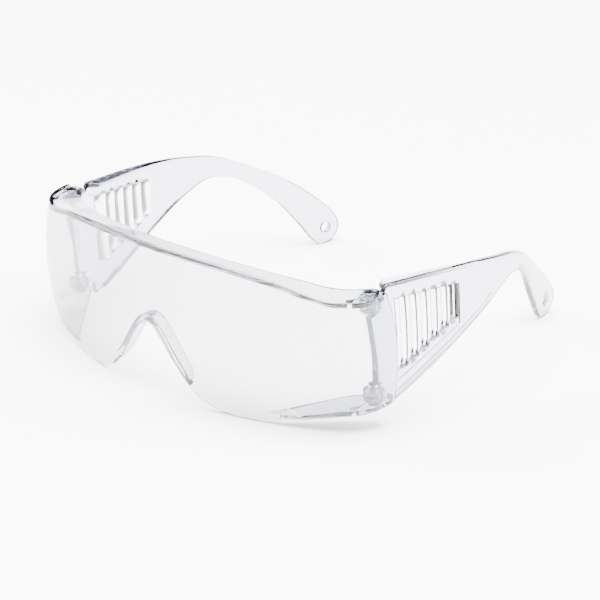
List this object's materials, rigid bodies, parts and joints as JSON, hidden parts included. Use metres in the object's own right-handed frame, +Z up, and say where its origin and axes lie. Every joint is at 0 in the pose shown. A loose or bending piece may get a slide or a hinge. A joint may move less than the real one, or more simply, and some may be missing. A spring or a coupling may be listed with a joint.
{
  "type": "safety glasses",
  "caption": "Clear wraparound over-glasses: one-piece bowed lens with brow shelf and nose arch, and two folding side arms with louvred vents and a hole at each tip.",
  "frame": {"origin": "centre of the footprint, on the table the open glasses stand on", "axes": "+X to the wearer's left, +Y towards the arm tips, +Z up; the lens faces -Y"},
  "size_m": [0.153, 0.1588, 0.0547],
  "materials": {
    "lens": "clear moulded polycarbonate, polished",
    "arms": "clear moulded polycarbonate, polished",
    "pins": "clear moulded plastic"
  },
  "bodies": {
    "front": {"shield": "lens"},
    "arm_left": {"temple_left": "arms", "hinge_pin_upper_left": "pins", "hinge_pin_lower_left": "pins"},
    "arm_right": {"temple_right": "arms", "hinge_pin_upper_right": "pins", "hinge_pin_lower_right": "pins"}
  },
  "joints": [
    {"name": "fold_left", "type": "hinge", "parent": "front", "child": "arm_left", "pos_m": [0.07, -0.04502, 0.02607], "axis": [0, -0.093, 0.9957], "range_deg": [0, 82]},
    {"name": "fold_right", "type": "hinge", "parent": "front", "child": "arm_right", "pos_m": [-0.07, -0.04502, 0.02607], "axis": [0, 0.093, -0.9957], "range_deg": [0, 74]}
  ]
}
